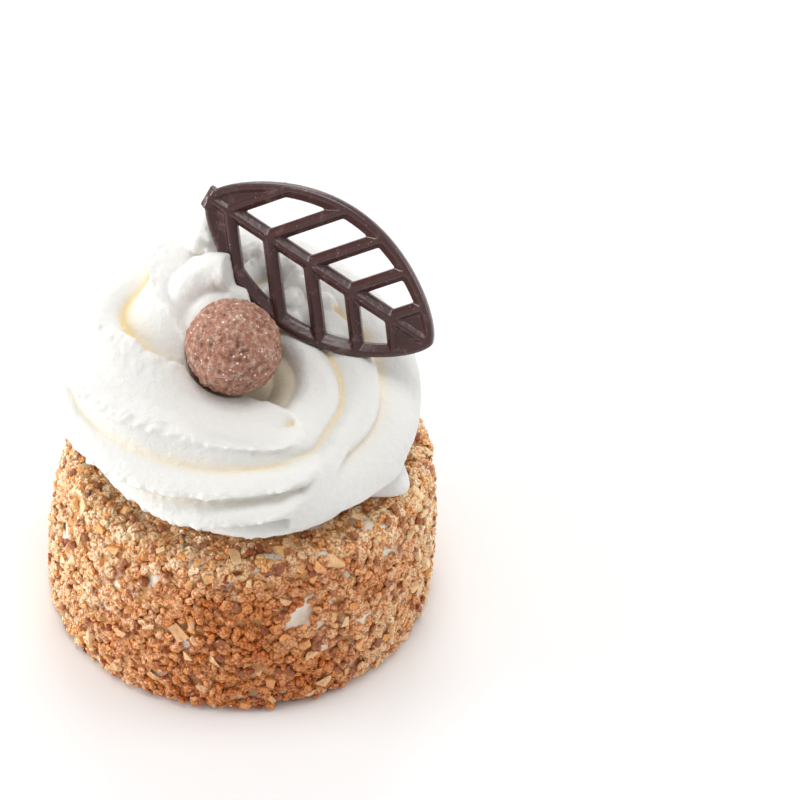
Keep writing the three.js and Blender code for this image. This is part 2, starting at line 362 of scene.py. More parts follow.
class CreamSettings(bpy.types.PropertyGroup):
    """Sizes and colours of the piped rosette."""

    grid_round: IntProperty(name="Steps round", description="Steps round the ring", default=640)
    grid_over: IntProperty(name="Steps over", description="Steps over the rope", default=260)
    voxel: length_property("Fineness", "Size of the finest form in the cream", 0.3 * MM)
    frill: length_property("Frill", "Unevenness of the lips' torn edges", 0.25 * MM)
    frill_pitch: length_property("Frill pitch", "From one torn tooth to the next", 1.7 * MM)
    cream: colour_property("Cream", "Whipped cream", "#e6e5e1")
    # Painted warm shade: light bounced and scattered deep in the creases and the hollow
    crease: colour_property("Crease", "Cream deep in a crease", "#f0d8a4")


class BallSettings(bpy.types.PropertyGroup):
    """Sizes and colours of the chocolate ball."""

    radius: length_property("Radius", "To the ball's crags", BALL_RADIUS)
    crag: length_property("Crags", "Depth of the rough surface", 0.5 * MM)
    chocolate: colour_property("Chocolate", "Milk chocolate", "#a46a50")
    # Painted shade: the chocolate's colour deep in the pits
    dark: colour_property("Pits", "Chocolate in the pits", "#743f30")
    dust: colour_property("Dust", "Fine sugar on the chocolate", "#dcc2b0")
    sugar: colour_property("Sugar", "The larger crystals", "#ead9cd")


class LeafSettings(bpy.types.PropertyGroup):
    """Sizes and colours of the chocolate leaf."""

    voxel: length_property("Fineness", "Size of the finest form in the leaf", 0.17 * MM)
    chocolate: colour_property("Chocolate", "Dark chocolate", "#472b29")
    bloom: colour_property("Bloom", "Where the chocolate is scuffed", "#7d5f5a")
    dust: colour_property("Dust", "Grains of dust on the chocolate", "#8d7068")


class StageSettings(bpy.types.PropertyGroup):
    """The floor and the light."""

    floor: colour_property("Floor", "Plain pale floor", "#f2f2f2")
    left_power: power_property("Left light", 25)
    right_power: power_property("Right light", 6)
    back_power: power_property("Back light", 8)
    top_power: power_property("Top light", 12)
    sky: FloatProperty(name="Sky", description="Strength of the white surroundings", default=0.52)


# ---- small tools ----


def smooth(value, low, high):
    """From 0 at low to 1 at high, easing in and out."""
    share = np.clip((value - low) / (high - low), 0, 1)
    return share * share * (3 - 2 * share)


def near(angle, middle, width):
    """1 at a ring angle and down to 0 within a width on both sides of it."""
    off = (angle - middle + 180) % 360 - 180
    return np.exp(-((off / width) ** 2))


# Large primes that scatter a cell's three numbers into one, and how far apart two seeds lie.
SCATTER = (73856093, 19349663, 83492791)
SCATTER_AGAIN = 1274126177
SEED_STEP = 19.7


def lumpy(points, size, seed):
    """Smooth random heights from -1 to 1 at points, with lumps of one size."""
    place = np.asarray(points, float) / size + seed * SEED_STEP
    cell = np.floor(place).astype(np.int64)
    part = place - cell
    part = part * part * (3 - 2 * part)
    total = np.zeros(len(place))
    for corner in itertools.product((0, 1), repeat=3):
        key = ((cell + corner) * SCATTER).sum(axis=1)
        key = (key ^ (key >> 13)) * SCATTER_AGAIN
        height = ((key ^ (key >> 16)) & 0xFFFF) / 0x7FFF - 1
        weight = np.where(corner, part, 1 - part).prod(axis=1)
        total += height * weight
    return total


def relief_of(points, *layers):
    """Lumps of several sizes together; each layer gives their size, share and seed."""
    return sum(share * lumpy(points, size, seed) for size, share, seed in layers)


def clear_selection():
    """Leaves nothing selected, in object mode."""
    if bpy.context.object and bpy.context.object.mode != "OBJECT":
        bpy.ops.object.mode_set(mode="OBJECT")
    bpy.ops.object.select_all(action="DESELECT")


def select_only(obj):
    """Selects one object and makes it the active one."""
    clear_selection()
    obj.select_set(True)
    bpy.context.view_layer.objects.active = obj


def edit_all(obj):
    """Starts to edit one object, with all of its mesh selected."""
    select_only(obj)
    bpy.ops.object.mode_set(mode="EDIT")
    bpy.ops.mesh.select_all(action="SELECT")


def face_outwards():
    """Turns all faces of the edited mesh outwards and ends the editing."""
    bpy.ops.mesh.select_all(action="SELECT")
    bpy.ops.mesh.normals_make_consistent(inside=False)
    bpy.ops.object.mode_set(mode="OBJECT")


def points_of(obj):
    """The object's vertices as an array."""
    flat = np.empty(len(obj.data.vertices) * 3)
    obj.data.vertices.foreach_get("co", flat)
    return flat.reshape(-1, 3)


def move_points(obj, points):
    """Puts the object's vertices in new places."""
    obj.data.vertices.foreach_set("co", np.asarray(points, float).ravel())
    obj.data.update()


def normals_of(obj):
    """The object's vertex normals as an array."""
    flat = np.empty(len(obj.data.vertices) * 3)
    obj.data.vertex_normals.foreach_get("vector", flat)
    return flat.reshape(-1, 3)


def put_attribute(obj, name, values):
    """Stores one number for each vertex, for the materials to read."""
    attribute = obj.data.attributes.new(name, "FLOAT", "POINT")
    attribute.data.foreach_set("value", np.asarray(values, np.float32))


def apply_modifier(obj, kind, **settings):
    """Adds a modifier with settings and applies it."""
    select_only(obj)
    modifier = obj.modifiers.new(kind.title(), kind)
    for key, value in settings.items():
        setattr(modifier, key, value)
    bpy.ops.object.modifier_apply(modifier=modifier.name)


def join(objects):
    """Joins objects into the first one."""
    clear_selection()
    for obj in objects:
        obj.select_set(True)
    bpy.context.view_layer.objects.active = objects[0]
    bpy.ops.object.join()
    return bpy.context.object


def mesh_object(name, points, faces):
    """A new mesh object from arrays of points and of faces' corners."""
    mesh = bpy.data.meshes.new(name)
    mesh.from_pydata(np.asarray(points, float).tolist(), [], np.asarray(faces).tolist())
    obj = bpy.data.objects.new(name, mesh)
    bpy.context.scene.collection.objects.link(obj)
    return obj


def finish_piece(obj, name, material, slot, *nodes):
    """Names a finished piece, gives it its material, hangs it under the root body and hides the
    frame parts that it replaces.
    """
    obj.name = name
    obj.data.name = name
    obj.data.materials.clear()
    obj.data.materials.append(material)
    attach(obj, "root")
    if nodes:
        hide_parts(*nodes)


# ---- materials ----


def new_material(name):
    """A material, its node tree and its Principled shader."""
    material = bpy.data.materials.new(name)
    material.use_nodes = True
    return material, material.node_tree, material.node_tree.nodes["Principled BSDF"]


def set_inputs(tree, node, inputs):
    """Gives each named input of a node its value, or a link where the value is a socket."""
    for key, value in inputs.items():
        if isinstance(value, bpy.types.NodeSocket):
            tree.links.new(value, node.inputs[key])
        else:
            node.inputs[key].default_value = value


def add_node(tree, kind, inputs, **settings):
    """Adds a node with its inputs and settings, and gives its outputs."""
    node = tree.nodes.new("ShaderNode" + kind)
    for key, value in settings.items():
        setattr(node, key, value)
    set_inputs(tree, node, inputs)
    return node.outputs


def opaque(colour):
    """A colour with full alpha."""
    return (*colour, 1)


# Sockets of the Mix node for colours, and the settings of that node and of an eased ramp.
FACTOR, FIRST, SECOND, RESULT = 0, 6, 7, 2
COLOURS = {"data_type": "RGBA"}
EASED = {"interpolation_type": "SMOOTHSTEP"}

# What is left of a nut's colour, in red, green and blue: first under painted shade, on the front
# and in the pits between its crystals, and in its own clouds of deeper caramel; then in the pits on
# the shaded front and in those clouds, darker still with painted shade.
DEEPER_TONE_AND_SHADE = (0.8, 0.39, 0.165)
DEEPEST_PIT_SHADE_AND_TONE = (0.44, 0.155, 0.06)


def nut_material(name, colour, gloss, grain):
    """Chopped nut boiled in sugar: a glassy, slightly clear skin over a lighter, grainy inside.

    Each piece is a little lighter or darker than the next, by its own tint, and clouds of deeper
    caramel lie all round. Painted shade darkens the front of the drum and the pits between the
    crystals.
    """
    material, tree, shader = new_material(name)
    where = add_node(tree, "TexCoord", {})["Object"]
    tint = add_node(tree, "Attribute", {}, attribute_name="tint")["Fac"]
    toast = add_node(tree, "Attribute", {}, attribute_name="toast")["Fac"]
    mottle = add_node(tree, "TexNoise", {"Vector": where, "Scale": 1 / (1.4 * MM)})["Fac"]
    # Sugar crystals are finer than this, and are drawn as coarse as they need to show.
    crystals = add_node(
        tree, "TexVoronoi", {"Vector": where, "Scale": 1 / (0.5 * MM), "Smoothness": 0.3},
        feature="SMOOTH_F1",
    )["Distance"]

    dark = opaque(c**1.2 * 0.95 for c in colour)
    light = opaque(min(1, c**0.7 * 1.1) for c in colour)
    # The colours of painted shade on the shaded front and in the crystals' pits, shared by the
    # nuts' own deeper clouds
    deep = opaque(c * share for c, share in zip(colour, DEEPER_TONE_AND_SHADE))
    darkest_pit_shade = opaque(c * share for c, share in zip(colour, DEEPEST_PIT_SHADE_AND_TONE))
    toned = add_node(tree, "Mix", {FACTOR: tint, FIRST: dark, SECOND: light}, **COLOURS)[RESULT]
    spots = add_node(
        tree, "MapRange", {"Value": mottle, "From Min": 0.5, "From Max": 0.72}, **EASED
    )["Result"]
    mottled = add_node(
        tree, "Mix", {FACTOR: spots, FIRST: toned, SECOND: light}, **COLOURS
    )[RESULT]
    skin = add_node(tree, "Mix", {FACTOR: toast, FIRST: mottled, SECOND: deep}, **COLOURS)[RESULT]
    # Painted shade in the pits between the sugar crystals, darker still on the shaded front
    between = add_node(
        tree, "MapRange", {"Value": crystals, "From Min": 0.42, "From Max": 0.72 + (1 - grain)},
        **EASED,
    )["Result"]
    pits = add_node(tree, "Mix", {FACTOR: toast, FIRST: deep, SECOND: darkest_pit_shade}, **COLOURS)[RESULT]
    whole = add_node(tree, "Mix", {FACTOR: between, FIRST: skin, SECOND: pits}, **COLOURS)[RESULT]
    bump = add_node(
        tree, "Bump", {"Height": crystals, "Strength": 0.8 * grain, "Distance": 0.3 * MM},
        invert=True,
    )["Normal"]
    set_inputs(tree, shader, {
        "Base Color": whole, "Normal": bump, "Roughness": gloss, "IOR": 1.5,
        "Subsurface Weight": 0.3, "Subsurface Radius": (1, 0.7, 0.5),
        "Subsurface Scale": 0.35 * MM,
    })
    return material


def coating_material(settings):
    """Thin whipped cream: off-white and satin, with a painted caramel glow of light scattered
    through the sugar where nuts lie close.
    """
    material, tree, shader = new_material("nut coating cream")
    where = add_node(tree, "TexCoord", {})["Object"]
    bare = add_node(tree, "Attribute", {}, attribute_name="bare")["Fac"]
    grain = add_node(tree, "TexNoise", {"Vector": where, "Scale": 1 / (0.5 * MM)})["Fac"]
    # Painted glow of light scattered through the sugar where nuts lie close; white where the
    # coating is bare
    colour = add_node(
        tree, "Mix",
        {FACTOR: bare, FIRST: opaque(settings.crevice_glow), SECOND: opaque(settings.coating)}, **COLOURS,
    )[RESULT]
    bump = add_node(tree, "Bump", {"Height": grain, "Strength": 0.5, "Distance": 0.3 * MM})
    set_inputs(tree, shader, {
        "Base Color": colour, "Normal": bump["Normal"], "Roughness": 0.55, "IOR": 1.45,
        "Subsurface Weight": 0.3, "Subsurface Radius": (1, 0.7, 0.45),
        "Subsurface Scale": 1.5 * MM,
    })
    return material


def cream_material(settings):
    """Whipped cream, piped cold: soft satin white, fine pores, and painted warm shade deep in
    creases and in the hollow.
    """
    material, tree, shader = new_material("whipped cream")
    where = add_node(tree, "TexCoord", {})["Object"]
    crease = add_node(tree, "Attribute", {}, attribute_name="crease")["Fac"]
    # The real pores are finer than this, and are drawn as coarse as they need to show.
    pores = add_node(
        tree, "TexNoise",
        {"Vector": where, "Scale": 1 / (0.4 * MM), "Detail": 3, "Roughness": 0.6},
    )["Fac"]
    waves = add_node(tree, "TexNoise", {"Vector": where, "Scale": 1 / (1.3 * MM)})["Fac"]
    # Painted warm shade deep in the creases and in the hollow
    colour = add_node(
        tree, "Mix",
        {FACTOR: crease, FIRST: opaque(settings.cream), SECOND: opaque(settings.crease)},
        **COLOURS,
    )[RESULT]
    soft = add_node(tree, "Bump", {"Height": waves, "Strength": 0.5, "Distance": 0.4 * MM})
    fine = add_node(
        tree, "Bump",
        {"Height": pores, "Strength": 0.5, "Distance": 0.2 * MM, "Normal": soft["Normal"]},
    )
    set_inputs(tree, shader, {
        "Base Color": colour, "Normal": fine["Normal"], "Roughness": 0.5, "IOR": 1.4,
        "Subsurface Weight": 0.3, "Subsurface Radius": (1, 0.85, 0.7),
        "Subsurface Scale": 1.6 * MM,
    })
    return material


def ball_material(settings):
    """Milk chocolate rolled in sugar and cocoa: matt, with painted shade in its pits, and a few
    crystals.
    """
    material, tree, shader = new_material("sugared milk chocolate")
    where = add_node(tree, "TexCoord", {})["Object"]
    height = add_node(tree, "Attribute", {}, attribute_name="height")["Fac"]
    dusting = add_node(
        tree, "TexNoise",
        {"Vector": where, "Scale": 1 / (0.9 * MM), "Detail": 4, "Roughness": 0.7},
    )["Fac"]
    grain = add_node(
        tree, "TexNoise",
        {"Vector": where, "Scale": 1 / (0.35 * MM), "Detail": 3, "Roughness": 0.7},
    )["Fac"]
    # One cell for each grain of sugar, of which few are chosen to show.
    crystals = add_node(tree, "TexVoronoi", {"Vector": where, "Scale": 1 / (0.6 * MM)})
    cell = add_node(tree, "SeparateColor", {"Color": crystals["Color"]})["Red"]
    chosen = add_node(
        tree, "MapRange", {"Value": cell, "From Min": 0.86, "From Max": 0.9}, **EASED
    )["Result"]
    middle = add_node(
        tree, "MapRange", {"Value": crystals["Distance"], "From Min": 0.42, "From Max": 0.3},
        **EASED,
    )["Result"]
    crystal = add_node(tree, "Math", {0: chosen, 1: middle}, operation="MULTIPLY")["Value"]
    # Painted shade, darker the deeper a pit lies between the crags
    out_of_pit_shade = add_node(
        tree, "MapRange", {"Value": height, "From Min": -0.9, "From Max": 0.2}, **EASED
    )["Result"]
    bare = add_node(
        tree, "Mix",
        {FACTOR: out_of_pit_shade, FIRST: opaque(settings.dark), SECOND: opaque(settings.chocolate)},
        **COLOURS,
    )[RESULT]
    dusted = add_node(
        tree, "MapRange", {"Value": dusting, "From Min": 0.4, "From Max": 0.8}, **EASED
    )["Result"]
    dull = add_node(
        tree, "Mix", {FACTOR: dusted, FIRST: bare, SECOND: opaque(settings.dust)}, **COLOURS
    )[RESULT]
    sugared = add_node(
        tree, "Mix", {FACTOR: crystal, FIRST: dull, SECOND: opaque(settings.sugar)}, **COLOURS
    )[RESULT]
    bump = add_node(tree, "Bump", {"Height": grain, "Strength": 0.9, "Distance": 0.35 * MM})
    set_inputs(tree, shader, {
        "Base Color": sugared, "Normal": bump["Normal"], "Roughness": 0.5, "IOR": 1.5,
    })
    return material


def leaf_material(settings):
    """Moulded dark chocolate: smooth satin gloss, with light scuffs and a few grains of dust."""
    material, tree, shader = new_material("moulded dark chocolate")
    where = add_node(tree, "TexCoord", {})["Object"]
    scuffs = add_node(
        tree, "TexNoise", {"Vector": where, "Scale": 1 / (3 * MM), "Detail": 5, "Roughness": 0.65}
    )["Fac"]
    specks = add_node(tree, "TexVoronoi", {"Vector": where, "Scale": 1 / (1.1 * MM)})["Distance"]
    ripple = add_node(tree, "TexNoise", {"Vector": where, "Scale": 1 / (0.9 * MM)})["Fac"]
    dull = add_node(
        tree, "MapRange", {"Value": scuffs, "From Min": 0.52, "From Max": 0.8}, **EASED
    )["Result"]
    scuffed = add_node(
        tree, "Mix",
        {FACTOR: dull, FIRST: opaque(settings.chocolate), SECOND: opaque(settings.bloom)},
        **COLOURS,
    )[RESULT]
    dust = add_node(
        tree, "MapRange", {"Value": specks, "From Min": 0.13, "From Max": 0.07}, **EASED
    )["Result"]
    colour = add_node(
        tree, "Mix", {FACTOR: dust, FIRST: scuffed, SECOND: opaque(settings.dust)}, **COLOURS
    )[RESULT]
    bump = add_node(tree, "Bump", {"Height": ripple, "Strength": 0.25, "Distance": 0.2 * MM})
    set_inputs(tree, shader, {
        "Base Color": colour, "Normal": bump["Normal"], "Roughness": 0.27, "IOR": 1.55,
        "Subsurface Weight": 0.06, "Subsurface Radius": (1, 0.3, 0.15),
        "Subsurface Scale": 0.8 * MM,
    })
    return material


# ---- the drum ----


def drum_outline(inset=0.0):
    """The drum's half outline, from the foot over the side to the top, inset from the nuts' tips.

    Gives points (r, z), an even step apart, and their outward normals.
    """
    def radius(z):
        rise = (z - DRUM["belly_height"]) / DRUM_HEIGHT
        return NUT_TIPS - DRUM["taper"] * rise * rise

    def rounding(first, corner, last):
        share = np.linspace(0, 1, DRUM["rounding_steps"])[:, None]
        return (1 - share) ** 2 * first + 2 * share * (1 - share) * corner + share**2 * last

    foot, edge = DRUM["foot_rounding"], DRUM["edge_radius"]
    shoulder = DRUM_HEIGHT - edge
    side_heights = np.linspace(foot, shoulder, DRUM["side_steps"])
    side = np.stack([radius(side_heights), side_heights], axis=1)
    low = rounding(np.array([radius(0) - foot, 0]), np.array([radius(0), 0]), side[0])
    top_radius = side[-1, 0]
    high = rounding(
        side[-1], np.array([top_radius, DRUM_HEIGHT]), np.array([top_radius - edge, DRUM_HEIGHT])
    )
    inwards = np.linspace(top_radius - edge, DRUM["top_ring"], DRUM["top_steps"])
    flat = np.stack([inwards, np.full(DRUM["top_steps"], DRUM_HEIGHT)], axis=1)
    path = np.concatenate([low[:-1], side[:-1], high[:-1], flat])
    length = np.concatenate([[0], np.cumsum(np.linalg.norm(np.diff(path, axis=0), axis=1))])
    even = np.linspace(0, length[-1], DRUM["outline_steps"])
    path = np.stack([np.interp(even, length, path[:, k]) for k in (0, 1)], axis=1)
    along = np.gradient(path, axis=0)
    along /= np.linalg.norm(along, axis=1)[:, None]
    outward = np.stack([along[:, 1], -along[:, 0]], axis=1)
    return path - outward * inset, outward


def lean_shift(z):
    """How far the hand-shaped drum has moved to the right at a height."""
    return DRUM["lean"] * np.clip(z / DRUM_HEIGHT, 0, 1) ** DRUM["lean_power"]


def patchiness(places):
    """High where few nuts stick."""
    return relief_of(places, (3.4 * MM, 1, 5), (1.5 * MM, 0.5, 6))


def front_shade_and_tone(places):
    """From 0 to 1: painted shade, deepest low at the front, with the nuts' own clouds of deeper and
    paler caramel.
    """
    angle = np.degrees(np.arctan2(places[:, 1], places[:, 0]))
    front = near(angle, FRONT_SHADE_AND_TONE["at"], FRONT_SHADE_AND_TONE["width"])
    front *= 1 - FRONT_SHADE_AND_TONE["pales_by"] * smooth(places[:, 2], *FRONT_SHADE_AND_TONE["pales_from_to"])
    return np.clip(front + FRONT_SHADE_AND_TONE["clouds"] * lumpy(places, FRONT_SHADE_AND_TONE["cloud_size"], 21), 0, 1)


def make_coating(settings):
    """The creamy layer under the nuts, drawn up ring by ring from the foot."""
    path, _ = drum_outline(settings.coating_depth)
    rings = path[:: len(path) // DRUM["rings"]]
    rings[:, 1] = np.maximum(rings[:, 1], GAP)
    clear_selection()
    bpy.ops.mesh.primitive_circle_add(
        vertices=DRUM["sides"], radius=rings[0, 0], fill_type="NGON",
        location=(0, 0, rings[0, 1]),
    )
    drum = bpy.context.object
    bpy.ops.object.transform_apply(location=True)
    edit_all(drum)
    bpy.ops.mesh.select_mode(type="FACE")
    for before, after in itertools.pairwise(rings):
        rise = max(after[1] - before[1], 0)
        bpy.ops.mesh.extrude_region_move(TRANSFORM_OT_translate={"value": (0, 0, rise)})
        scale = after[0] / before[0]
        bpy.ops.transform.resize(value=(scale, scale, 1), center_override=(0, 0, after[1]))
    face_outwards()

    places = points_of(drum)
    outward = normals_of(drum)
    relief = relief_of(places, (3.2 * MM, 1, 1), (1.4 * MM, 0.6, 2))
    places += outward * (relief * settings.coating_lumps)[:, None]
    places[:, 0] += lean_shift(places[:, 2])
    places[:, 2] = np.clip(places[:, 2], 0, DRUM_HEIGHT - GAP)
    move_points(drum, places)
    # Where the nuts lie close the coating takes the painted caramel glow; on bare patches it is
    # white
    put_attribute(drum, "bare", smooth(patchiness(places), *CREVICE_GLOW_THINS))
    bpy.ops.object.shade_smooth()
    return drum


# ---- the nuts ----

# Each kind: how many pieces, the smallest and largest half length in mm, width and thickness as
# shares of that, how many knobs it has grown together from, how rough and how cut it is, how far
# it sinks in, how far it tips, and its gloss.
NUT_KINDS = {
    "nuts_golden": dict(count=1700, size=(1.0, 2.1), wide=0.85, thick=0.75, knobs=4, rough=0.16,
                        fine=2, cuts=0, depth=1.0 * MM, tilt=0.9, colour="golden", gloss=0.2),
    "nuts_honey": dict(count=850, size=(0.7, 1.7), wide=0.85, thick=0.8, knobs=4, rough=0.16,
                       fine=2, cuts=0, depth=1.0 * MM, tilt=0.9, colour="honey", gloss=0.18),
    "nuts_caramel": dict(count=110, size=(1.0, 1.8), wide=0.75, thick=0.55, knobs=1, rough=0.3,
                         fine=0, cuts=3, depth=0.5 * MM, tilt=0.5, colour="caramel", gloss=0.25),
    "nuts_pale": dict(count=150, size=(1.0, 2.6), wide=0.55, thick=0.4, knobs=1, rough=0.3,
                      fine=0, cuts=3, depth=0.3 * MM, tilt=0.5, colour="pale", gloss=0.45),
    "nuts_brown": dict(count=420, size=(0.7, 1.4), wide=0.8, thick=0.7, knobs=2, rough=0.15,
                       fine=2, cuts=2, depth=0.4 * MM, tilt=0.9, colour="brown", gloss=0.3),
}
NUT_CRUMBS = dict(count=5000, size=(0.3, 0.9), wide=0.8, thick=0.7, knobs=2, rough=0.2, fine=1,
                  cuts=0, start=0.7 * MM, depth=1.1 * MM, tilt=1.5, colour="golden", gloss=0.3)
NUT_VARIANTS = 12
NUT_SPACING = 0.48           # share of two pieces' half lengths that keeps them apart
NUT_TRIES = 30
NUT_BARE = 0.52              # patchiness over which the coating shows
CREVICE_GLOW_THINS = (0.25, 0.5)    # patchiness over which the coating loses its painted caramel glow
KEPT_ON_BARE = 0.04          # share of the pieces that stick there all the same
CUT_FROM, CUT_TO = 0.35, 0.65  # how far from its middle a nut is cut
MERGED = 0.2                 # corners this near each other become one
FACET_ANGLE = math.radians(32)
ABOVE_TABLE = 0.05 * MM
# A cut side's grain also sets how much painted shade its crystals' pits take
CUT_GRAIN = 0.4              # how much of the crystals' relief a cut side has
CUT_SHADE_AND_TONE = 0.5              # how much painted front shade and deeper caramel a cut side takes
KNOB_SIZE = 0.7              # of a knob, as a share of the piece
KNOB_SPREAD = 0.33           # of the knobs' middles
KNOB_PAST = 0.01             # stands for the root's content where a ray passes a knob by
SPLINTER_CUBE = 1.4          # the block that a splinter is cut from, in half lengths


def nut_shape(kind, seed):
    """One nut piece of half length 1, as points and triangles: knobs grown into one, then cut."""
    rng = np.random.default_rng(seed)
    clear_selection()
    if kind["fine"]:
        bpy.ops.mesh.primitive_ico_sphere_add(subdivisions=kind["fine"], radius=1)
    else:
        bpy.ops.mesh.primitive_cube_add(size=SPLINTER_CUBE)
    piece = bpy.context.object
    facing = points_of(piece)
    knobs = rng.normal(size=(kind["knobs"], 3)) * KNOB_SPREAD
    along = facing @ knobs.T
    beyond = along**2 - (knobs**2).sum(axis=1) + KNOB_SIZE**2
    reach = (along + np.sqrt(np.maximum(beyond, KNOB_PAST))).max(axis=1)
    move_points(piece, facing * reach[:, None])
    edit_all(piece)
    bpy.ops.transform.vertex_random(offset=kind["rough"], seed=seed)
    for _ in range(kind["cuts"]):
        facing = rng.normal(size=3)
        facing /= np.linalg.norm(facing)
        bpy.ops.mesh.select_all(action="SELECT")
        bpy.ops.mesh.bisect(
            plane_co=facing * rng.uniform(CUT_FROM, CUT_TO), plane_no=facing, use_fill=True,
            clear_outer=True,
        )
    bpy.ops.mesh.select_all(action="SELECT")
    bpy.ops.mesh.remove_doubles(threshold=MERGED)
    bpy.ops.mesh.quads_convert_to_tris()
    face_outwards()
    points = points_of(piece)
    points = points / np.abs(points).max() * (1, kind["wide"], kind["thick"])
    faces = np.array([list(face.vertices) for face in piece.data.polygons])
    bpy.data.meshes.remove(piece.data)
    return points, faces


class NutBed:
    """The nuts laid so far on the drum, in cells, so that neighbours are found fast."""

    CELL = 3 * MM

    def __init__(self):
        self.cells = {}

    def is_free(self, place, reach):
        """Whether a piece of this half length may lie here."""
        for cell in itertools.product(*[(c - 1, c, c + 1) for c in (place // self.CELL).tolist()]):
            for other, other_reach in self.cells.get(cell, ()):
                room = (reach + other_reach) * NUT_SPACING
                if math.dist(place, other) < room:
                    return False
        return True

    def add(self, place, reach):
        """Remembers a piece."""
        cell = tuple((place // self.CELL).tolist())
        self.cells.setdefault(cell, []).append((place.tolist(), reach))


def spots_on_drum(rng, count):
    """Random places all over the drum, each with its outward direction and a patchiness."""
    path, outward = drum_outline()
    area = np.cumsum(path[:, 0])
    index = np.minimum(np.searchsorted(area, rng.random(count) * area[-1]), len(path) - 1)
    turn = rng.random(count) * 2 * math.pi
    c, s = np.cos(turn), np.sin(turn)
    r, z = path[index].T
    places = np.stack([r * c + lean_shift(z), r * s, z], axis=1)
    normals = np.stack([outward[index, 0] * c, outward[index, 0] * s, outward[index, 1]], axis=1)
    return places, normals, patchiness(places)


def turned(rng, normal, tilt):
    """A random turn that lays a flat piece on the surface, tipped by up to a tilt."""
    lie = normal.to_track_quat("Z", "Y").to_matrix()
    spin = Matrix.Rotation(rng.uniform(0, 2 * math.pi), 3, "Z")
    tip = Matrix.Rotation(rng.uniform(-tilt, tilt), 3, "X")
    return np.array(lie @ spin @ tip)


def lay_pieces(rng, kinds, colours):
    """Lays pieces of several kinds on the drum, the largest first, few of them on bare patches.

    Makes one object for each kind.
    """
    seeds = [SEED + 10 * number for number in range(NUT_VARIANTS)]
    shapes = {name: [nut_shape(kind, seed) for seed in seeds] for name, kind in kinds.items()}
    order = [(size, name) for name, kind in kinds.items()
             for size in rng.uniform(*kind["size"], kind["count"])]
    places, normals, patches = spots_on_drum(rng, len(order) * NUT_TRIES)
    kept = (patches < NUT_BARE) | (rng.random(len(patches)) < KEPT_ON_BARE)
    spots = iter(zip(places[kept], normals[kept]))
    bed = NutBed()
    laid = {name: [] for name in kinds}
    for size, name in sorted(order, reverse=True):
        kind, reach = kinds[name], size * MM
        spot = next((spot for spot in spots if bed.is_free(spot[0], reach)), None)
        if spot is None:
            break
        place, normal = spot
        bed.add(place, reach)
        shape, corners = shapes[name][rng.integers(NUT_VARIANTS)]
        piece = (shape * reach) @ turned(rng, Vector(normal), kind["tilt"]).T
        sink = (piece @ normal).max() + kind.get("start", 0) + rng.uniform(0, kind["depth"])
        piece = piece + place - normal * sink
        piece[:, 2] += max(0, ABOVE_TABLE - piece[:, 2].min())
        laid[name].append((piece, corners, rng.random()))
    for name, pieces in laid.items():
        starts = np.cumsum([0] + [len(piece) for piece, _, _ in pieces])
        points = np.concatenate([piece for piece, _, _ in pieces])
        faces = np.concatenate([corners + first for (_, corners, _), first in zip(pieces, starts)])
        nuts = mesh_object(name, points, faces)
        put_attribute(nuts, "tint", np.repeat([tint for _, _, tint in pieces], np.diff(starts)))
        kind = kinds[name]
        grain, toast = (CUT_GRAIN, CUT_SHADE_AND_TONE) if kind["cuts"] else (1, 1)
        # Painted shade on the front, with the nuts' own clouds of deeper caramel
        put_attribute(nuts, "toast", front_shade_and_tone(points) * toast)
        if not kind["cuts"]:
            select_only(nuts)
            bpy.ops.object.shade_smooth_by_angle(angle=FACET_ANGLE)
        colour = getattr(colours, kind["colour"])
        material = nut_material(name.replace("_", " "), colour, kind["gloss"], grain)
        finish_piece(nuts, name, material, "nut_coating")


def make_nuts(settings):
    """All nut pieces, and then fine crumbs anywhere between them."""
    rng = np.random.default_rng(SEED)
    lay_pieces(rng, NUT_KINDS, settings)
    lay_pieces(rng, {"nut_crumbs": NUT_CRUMBS}, settings)


# ---- the cream ----


def ring_section(angle):
    """The rope's section at a ring angle: its middle and its two half sizes."""
    back = np.cos(np.radians(angle - RING["mid_rise_at"]))
    tall = np.cos(np.radians(angle - RING["half_height_rise_at"]))
    middle = DRUM_HEIGHT + RING["mid_height"] + RING["mid_rise"] * back
    half_width = RING["half_width"] - RING["left_width"] * np.cos(np.radians(angle))
    return middle, half_width, RING["half_height"] + RING["half_height_rise"] * tall


def way_round(angle, section):
    """How far round the ring from the rope's start, in degrees; the seam slants at its foot."""
    slant = RING["seam_slant"] * smooth(-section, *RING["slant_over"])
    return (angle - RING["seam_at"] + slant) % 360


